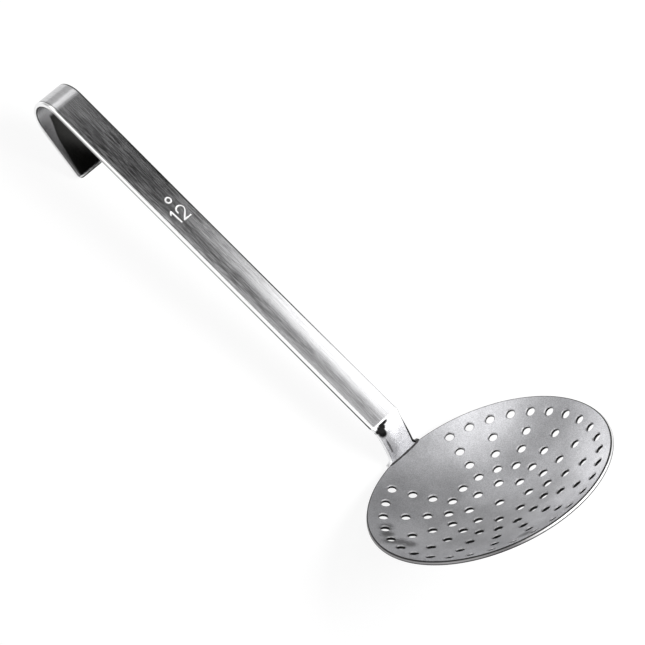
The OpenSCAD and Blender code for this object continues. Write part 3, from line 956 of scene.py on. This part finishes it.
def strip_blank(shape):
    """The flat strip before it is bent: upper face at Z 0, long edges and tip rounded."""
    neck, strip = shape.neck, shape.strip
    half = strip.width / 2
    start = neck.seam / 2 / math.cos(shape.kink / 2)
    outline = strip_outline(shape, start)
    tip_from = outline[-9][0] - 0.5 * MM
    steps = 5
    levels = edge_levels(steps, strip.shaded_foot)
    across = 10
    tilt = math.tan(shape.kink / 2)
    points, chains, edge_shade = [], [], []
    for level, (kind, value) in enumerate(levels):
        left = []
        for x, y, nx, ny, edges in outline:
            inset, z = edge_point(kind, value, edges, strip.sheet)
            left.append((x - nx * inset, y - ny * inset, z))
        x_end, y_end, z_end = left[-1]
        row = [(x_end, y_end * (1 - 2 * c / across), z_end) for c in range(1, across)]
        chain = [*left, *row, *((x, -y, z) for x, y, z in reversed(left))]
        first = len(points)
        for x, y, z in chain:
            # the lower end is cut to the plane of the seam
            points.append((x - z * tilt if x == chain[0][0] else x, y, z))
            # edge_shade marks the far upper rounding and the lower rows of the sides for painted shade
            upper = float(0 < level < steps and y < 0)
            lower = float(steps + 2 <= level < len(levels) - (3 if x > tip_from else 1))
            edge_shade.append(max(upper, lower))
        chains.append(list(range(first, len(points))))
    faces = []
    for upper, lower in zip(chains, chains[1:]):
        for i in range(len(upper) - 1):
            faces.append((upper[i], upper[i + 1], lower[i + 1], lower[i]))
    rows = len(outline)
    end_rows = []
    for chain in (chains[0], chains[-1]):
        grid = []
        for i in range(rows):
            left, right = chain[i], chain[-1 - i]
            row = [left]
            if i < rows - 1:
                (x0, y0, z0), (_, y1, _) = points[left], points[right]
                for c in range(1, across):
                    row.append(len(points))
                    points.append((x0, y0 + (y1 - y0) * c / across, z0))
                    edge_shade.append(0.0)
            else:
                row += chain[rows : rows + across - 1]
            row.append(right)
            grid.append(row)
        for i in range(rows - 1):
            for c in range(across):
                face = (grid[i][c], grid[i + 1][c], grid[i + 1][c + 1], grid[i][c + 1])
                faces.append(face[::-1] if chain is chains[0] else face)
        end_rows.append(grid[0])
    upper_side = [chain[-1] for chain in chains]
    lower_side = [chain[0] for chain in chains]
    loop = end_rows[0] + upper_side[1:-1] + end_rows[1][::-1] + lower_side[1:-1][::-1]
    faces.append(tuple(reversed(loop)))
    crowned = [
        (x, y, z - strip.crown * (y / half) ** 2 * crowned_share(x - start, strip) * (1 + z / strip.sheet))
        for x, y, z in points
    ]
    return new_object("handle_strip", crowned, faces, edge=edge_shade)


def mark_dish(dish_object, shape):
    """Notes on each face how level it lies with the sheet, and which faces are the rim's."""
    mesh = dish_object.data
    level = mesh.attributes.new("level", "FLOAT", "FACE")
    rim = mesh.attributes.new("rim", "FLOAT", "FACE")
    middle = Vector((0, 0, shape.ball_z))
    for face in mesh.polygons:
        level.data[face.index].value = abs(face.normal.dot((face.center - middle).normalized()))
        rim.data[face.index].value = float(face.center.xy.length > shape.rim - 1.2 * shape.dish.rim_round)


class SKIMMER_OT_dish(Operator):
    """Turn the dish and punch its rings of holes"""

    bl_idname = "skimmer.dish"
    bl_label = "Perforated Dish"

    def execute(self, context):
        shape = Shape(context.scene)
        dish = shape.dish
        steel = steel_for("dish")
        rings = int((shape.rim - dish.rim_margin - 0.9 * dish.pitch) / dish.pitch) + 1
        made = dish_blank(shape)
        grow(
            made,
            perforation_tree(rings),
            Hole=dish.hole,
            Edge=dish.hole_edge,
            Sheet=dish.sheet,
            Ball_radius=shape.ball,
            Ball_height=shape.ball_z,
            Outer_ring=shape.rim - dish.rim_margin,
            Pitch=dish.pitch,
            Spokes=dish.spokes,
            Land=dish.land,
            Bare_from=shape.seat - dish.bare_reach,
            Bare_half=dish.bare_half,
            Seat=shape.seat,
            Material=steel,
        )
        mark_dish(made, shape)
        settle(made, shape.rest, 38)
        finish_piece(made, "bowl", steel)
        return {"FINISHED"}


class SKIMMER_OT_neck(Operator):
    """Loft the arched neck from the rim to the crease"""

    bl_idname = "skimmer.neck"
    bl_label = "Arched Neck"

    def execute(self, context):
        shape = Shape(context.scene)
        rings, heights = neck_rings(shape)
        # only the far edge's rounding is marked for painted shade
        made = new_object(
            "neck_arch",
            *skin(rings),
            edge=[edge_shade * (p.y < 0) for ring in rings for edge_shade, p in zip(edge_shade_ring(), ring)],
            below_crease=[heights[-1] - s for s in heights for _ in rings[0]],
            across=[p.y for ring in rings for p in ring],
            far_edge=[p.y / min(q.y for q in ring) for ring in rings for p in ring],
        )
        settle(made, shape.rest)
        finish_piece(made, "neck", steel_for("neck"))
        return {"FINISHED"}


class SKIMMER_OT_handle(Operator):
    """Cut the strip, stamp its number and bend the hook"""

    bl_idname = "skimmer.handle"
    bl_label = "Hooked Handle"

    def execute(self, context):
        shape = Shape(context.scene)
        strip = shape.strip
        steel = steel_for("strip")
        made = strip_blank(shape)
        stamp_number(made, strip)
        unroll(made, strip)
        grow(made, hook_tree(), Run=strip.run, Outside_radius=shape.outer, Turn=strip.bend_turn, Material=steel)
        settle(made, shape.on_strip)
        finish_piece(made, "handle", steel)
        return {"FINISHED"}


def stroke(points, radius, height, endless=False, sides=48):
    """A round bar along points in the strip's plane, its axis at the given height."""
    rings = []
    last = len(points) - 1
    for i, p in enumerate(points):
        before = points[i - 1] if endless or i else p
        after = points[(i + 1) % len(points)] if endless or i < last else p
        ahead = (Vector((*after, 0)) - Vector((*before, 0))).normalized()
        side = Vector((-ahead.y, ahead.x, 0))
        centre = Vector((*p, height))
        sizes = [(0.0, 1.0)]
        if not endless and i == 0:
            sizes = [(-0.6, 0.3), (-0.4, 0.8), *sizes]
        if not endless and i == last:
            sizes = [*sizes, (0.4, 0.8), (0.6, 0.3)]
        for shift, size in sizes:
            middle = centre + ahead * shift * radius
            rings.append([
                middle + radius * size * (math.cos(a) * side + math.sin(a) * Vector((0, 0, 1)))
                for a in (math.tau * k / sides for k in range(sides))
            ])
    return skin(rings, endless=endless)


def arc(middle, radius, first, last, count):
    """Points on an arc, its angles in degrees from the number's upward direction towards its right."""
    angles = [math.radians(first + (last - first) * i / (count - 1)) for i in range(count)]
    return [(middle[0] + radius * math.cos(a), middle[1] + radius * math.sin(a)) for a in angles]


def stamp_number(strip_object, strip):
    """Sinks a plain 12 and a small ring into the upper face."""
    size, foot = strip.number_size, strip.number_at
    # places as (up the number, to its right), in shares of its height
    two = [*arc((0.69, 0.28), 0.31, -100, 95, 14), (0.50, 0.50), (0.36, 0.36), (0.20, 0.17), (0.0, -0.04)]
    base = [(0.0, -0.04), (0.0, 0.30), (0.0, 0.62)]
    one = [(0.80, -0.54), (0.90, -0.45), (1.0, -0.34)]
    upright = [(1.0, -0.34), (0.5, -0.32), (0.0, -0.30)]
    ring = arc((1.70, 0.12), 0.20, 0, 337.5, 16)
    width, depth = strip.number_stroke, strip.number_depth
    radius = (width**2 / 4 + depth**2) / (2 * depth)
    for line in (two, base, one, upright, ring):
        points = [(foot + up * size, -right * size) for up, right in line]
        middle = sum(abs(y) for _, y in points) / len(points)
        fall = strip.crown * (2 * middle / strip.width) ** 2 * crowned_share(foot, strip)
        cutter = new_object("stroke", *stroke(points, radius, radius - depth - fall, endless=line is ring))
        cut = strip_object.modifiers.new("Stamp", "BOOLEAN")
        cut.operation = "DIFFERENCE"
        cut.solver = "EXACT"
        cut.object = cutter
        evaluated(strip_object)
        bpy.data.objects.remove(cutter)


def unroll(strip_object, strip):
    """Lays the flat blank's skin out as UVs: along the strip by round its section."""
    mesh = strip_object.data
    layer = mesh.uv_layers.new(name="Strip")
    stamped = mesh.attributes.new("stamp", "FLOAT", "FACE")
    half, sheet = strip.width / 2, strip.sheet
    for face in mesh.polygons:
        n = face.normal
        fall = strip.crown * (face.center.y / half) ** 2 * crowned_share(face.center.x, strip)
        sunk = -fall - face.center.z
        # 1 marks the deep faces for the painted highlight, -1 the shallow ones for the painted shadow
        if 0.012 * MM < sunk < strip.sheet / 2 and abs(face.center.y) < half - strip.edge and face.center.x > 2 * MM:
            stamped.data[face.index].value = 1.0 if sunk > 0.5 * strip.number_depth else -1.0
        for index in face.loop_indices:
            x, y, z = mesh.vertices[mesh.loops[index].vertex_index].co
            if n.z < -0.5:
                girth = 2 * half + sheet + (half - y)
            elif n.z < 0.5 and n.y > 0.5:
                girth = -half - sheet - z
            elif n.z < 0.5 and n.y < -0.5:
                girth = half - z
            else:
                girth = -y
            layer.data[index].uv = (x * UV_SCALE, (girth + 2 * half) * UV_SCALE)


class SKIMMER_OT_seams(Operator):
    """Lay the fillet seam at the foot and the butt seam at the crease"""

    bl_idname = "skimmer.seams"
    bl_label = "Seams"

    def execute(self, context):
        shape = Shape(context.scene)
        neck, strip = shape.neck, shape.strip
        steel = steel_for("seam")
        run = shape.foot_width - 2 * neck.foot_edge
        rings = []
        for i in range(49):
            y = run * (i / 48 - 0.5)
            ends = smooth_step((run / 2 - abs(y)) / neck.bead / 1.5)
            ripple = 1 + 0.05 * math.sin(y / (0.45 * MM))
            leg = neck.bead * (0.35 + 0.65 * ends) * ripple * 0.52
            corner = Vector((shape.seat, y, shape.inside(math.hypot(shape.seat, y))))
            toe_u = shape.seat - leg
            toe = Vector((toe_u, y, shape.inside(math.hypot(toe_u, y))))
            top = corner + Vector((0, 0, leg))
            mid = 0.45 * corner + 0.275 * top + 0.275 * toe
            face = [(1 - t) ** 2 * top + 2 * t * (1 - t) * mid + t * t * toe for t in (k / 7 for k in range(8))]
            rings.append([*face, corner][::-1])
        made = new_object("foot_seam_bead", *skin(rings))
        settle(made, shape.rest)
        finish_piece(made, "foot_seam", steel)

        proud = neck.proud
        deep = strip.sheet / math.cos(shape.kink / 2)
        rings = []
        for i in range(9):
            x = i / 8 - 0.5
            grow_by = proud * math.cos(math.pi * x)
            section = rounded_ring(strip.width / 2 + grow_by, deep + 2 * grow_by, strip.edge, 0)
            rings.append([Vector((x * neck.seam, y, grow_by - d)) for y, d in section])
        made = new_object("neck_seam_bead", *skin(rings))
        settle(made, shape.on_strip @ Matrix.Rotation(-shape.kink / 2, 4, "Y"))
        finish_piece(made, "neck_seam", steel_for("neck"))
        return {"FINISHED"}


# Stage


def card(name, place, aim, width, height, strength):
    """A flat card that only reflections see, bright or black."""
    w, h = width / 2, height / 2
    made = new_object(name, [(-w, -h, 0), (w, -h, 0), (w, h, 0), (-w, h, 0)], [(0, 1, 2, 3)])
    facing = (Vector(aim) - Vector(place)).to_track_quat("-Z", "Y")
    made.matrix_world = Matrix.Translation(place) @ facing.to_matrix().to_4x4()
    material = bpy.data.materials.new(name)
    material.use_nodes = True
    material.node_tree.nodes.clear()
    bench = Bench(material.node_tree)
    glow = bench.add("ShaderNodeEmission", (1, 1, 1, 1), strength)
    bench.add("ShaderNodeOutputMaterial", glow.outputs[0])
    made.data.materials.append(material)
    made.visible_camera = False
    made.visible_diffuse = False
    made.visible_shadow = False
    made.visible_transmission = False
    return made


def seen_directly(bench):
    """1 for rays that show the background itself or its mirror image."""
    path = bench.add("ShaderNodeLightPath").outputs
    direct = bench.math("MAXIMUM", path["Is Camera Ray"], path["Is Glossy Ray"])
    return bench.math("MAXIMUM", direct, path["Is Transmission Ray"])


class SKIMMER_OT_stage(Operator):
    """Set out the pale floor, the soft light and the camera"""

    bl_idname = "skimmer.stage"
    bl_label = "Stage"

    def execute(self, context):
        scene = context.scene
        look = scene.skimmer_stage
        scene.view_settings.view_transform = "Standard"

        floor = new_object("floor", [(-3, -3, 0), (3, -3, 0), (3, 3, 0), (-3, 3, 0)], [(0, 1, 2, 3)])
        material = bpy.data.materials.new("Pale floor")
        material.use_nodes = True
        tree = material.node_tree
        tree.nodes.clear()
        bench = Bench(tree)
        shown = seen_directly(bench)
        matt = bench.add("ShaderNodeBsdfDiffuse", blend(bench, shown, look.floor, (0.2, 0.2, 0.2)))
        glow = bench.add("ShaderNodeEmission", (1, 1, 1, 1), bench.math("MULTIPLY", shown, 0.86))
        both = bench.add("ShaderNodeAddShader", matt.outputs[0], glow.outputs[0])
        bench.add("ShaderNodeOutputMaterial", both.outputs[0])
        floor.data.materials.append(material)

        world = bpy.data.worlds.new("Studio")
        scene.world = world
        world.use_nodes = True
        world.node_tree.nodes.clear()
        bench = Bench(world.node_tree)
        # white where the camera sees past the floor, and dimmer as light
        plain = bench.math("MAXIMUM", bench.add("ShaderNodeLightPath").outputs["Is Camera Ray"], look.sky)
        sky = bench.add("ShaderNodeBackground", (1, 1, 1, 1), plain)
        bench.add("ShaderNodeOutputWorld", sky.outputs[0])

        card("overhead_light", (-0.279, -0.36, 0.42), (-0.279, -0.36, 0), 0.682, 0.31, 2.2)
        card("overhead_fade", (0.084, -0.36, 0.42), (0.084, -0.36, 0), 0.044, 0.31, 0.75)
        card("overhead_flag", (0.171, -0.2825, 0.42), (0.171, -0.2825, 0), 0.131, 0.315, 0.06)
        card("hook_fade", (0.287, -0.2825, 0.42), (0.287, -0.2825, 0), 0.10, 0.315, 0.42)
        card("edge_light", (0.10, 0.08, 0.42), (0.10, 0.08, 0), 0.40, 0.36, 1.5)
        card("dish_light", (-0.29, 0.02, 0.43), (-0.29, 0.02, 0), 0.36, 0.38, 2.3)
        card("near_light", (0.10, 0.45, 0.22), (0.10, 0, 0.03), 0.70, 0.44, 1.5)
        card("bend_light", (0.405, -0.23, 0.42), (0.405, -0.23, 0), 0.13, 0.34, 1.2)
        card("bend_side", (0.56, -0.27, 0.20), (0.16, 0, 0.03), 0.24, 0.34, 0.62)
        card("side_light", (0.54, -0.04, 0.58), (-0.12, 0, 0.05), 0.56, 0.46, 1.9)
        card("low_light", (-0.36, -0.35, 0.16), (-0.07, 0, 0.02), 0.34, 0.22, 2.2)
        card("hook_flag", (0.109, -0.016, 0.029), (0.109, 0, 0.029), 0.036, 0.036, 0.01)
        card("floor_flag", (0.11, -0.13, 0.003), (0.11, -0.13, 1), 0.20, 0.17, 0.60)

        lamp = bpy.data.lights.new("Large lamp", "AREA")
        lamp.shape = "RECTANGLE"
        lamp.size, lamp.size_y = 0.9, 0.7
        lamp.energy = look.key
        holder = bpy.data.objects.new("Large lamp", lamp)
        scene.collection.objects.link(holder)
        place = Vector((-0.75, -0.75, 1.1))
        holder.matrix_world = Matrix.Translation(place) @ (-place).to_track_quat("-Z", "Y").to_matrix().to_4x4()
        holder.visible_glossy = False

        camera = bpy.data.cameras.new("Camera")
        camera.sensor_width = 36.0
        camera.lens = 233.866
        camera.clip_end = 20.0
        holder = bpy.data.objects.new("Camera", camera)
        right = Vector((-0.72077025, -0.67356474, 0.16370945))
        down = Vector((-0.65765418, 0.58985920, -0.46856921))
        ahead = right.cross(down)
        axes = Matrix((right, -down, -ahead)).transposed().to_4x4()
        holder.matrix_world = Matrix.Translation((-0.44091993, 0.86914576, 1.74030357)) @ axes
        scene.collection.objects.link(holder)
        scene.camera = holder
        return {"FINISHED"}


class SKIMMER_PT_panel(Panel):
    """Skimmer tools"""

    bl_label = "Kitchen Skimmer"
    bl_idname = "SKIMMER_PT_panel"
    bl_space_type = "VIEW_3D"
    bl_region_type = "UI"
    bl_category = "Skimmer"

    def draw(self, context):
        layout = self.layout
        for group, owner in GROUPS.items():
            box = layout.box()
            box.label(text=owner.__doc__)
            for name in owner.__annotations__:
                box.prop(getattr(context.scene, group), name)
        for operator in OPERATORS:
            layout.operator(operator.bl_idname)


OPERATORS = (SKIMMER_OT_stage, SKIMMER_OT_dish, SKIMMER_OT_neck, SKIMMER_OT_handle, SKIMMER_OT_seams)
CLASSES = (*GROUPS.values(), *OPERATORS, SKIMMER_PT_panel)


def register():
    for cls in CLASSES:
        bpy.utils.register_class(cls)
    for name, owner in GROUPS.items():
        setattr(bpy.types.Scene, name, PointerProperty(type=owner))


def unregister():
    for name in GROUPS:
        delattr(bpy.types.Scene, name)
    for cls in reversed(CLASSES):
        bpy.utils.unregister_class(cls)


def main():
    register()
    for name in ("stage", "dish", "neck", "handle", "seams"):
        getattr(bpy.ops.skimmer, name)()


if __name__ == "__main__":
    main()
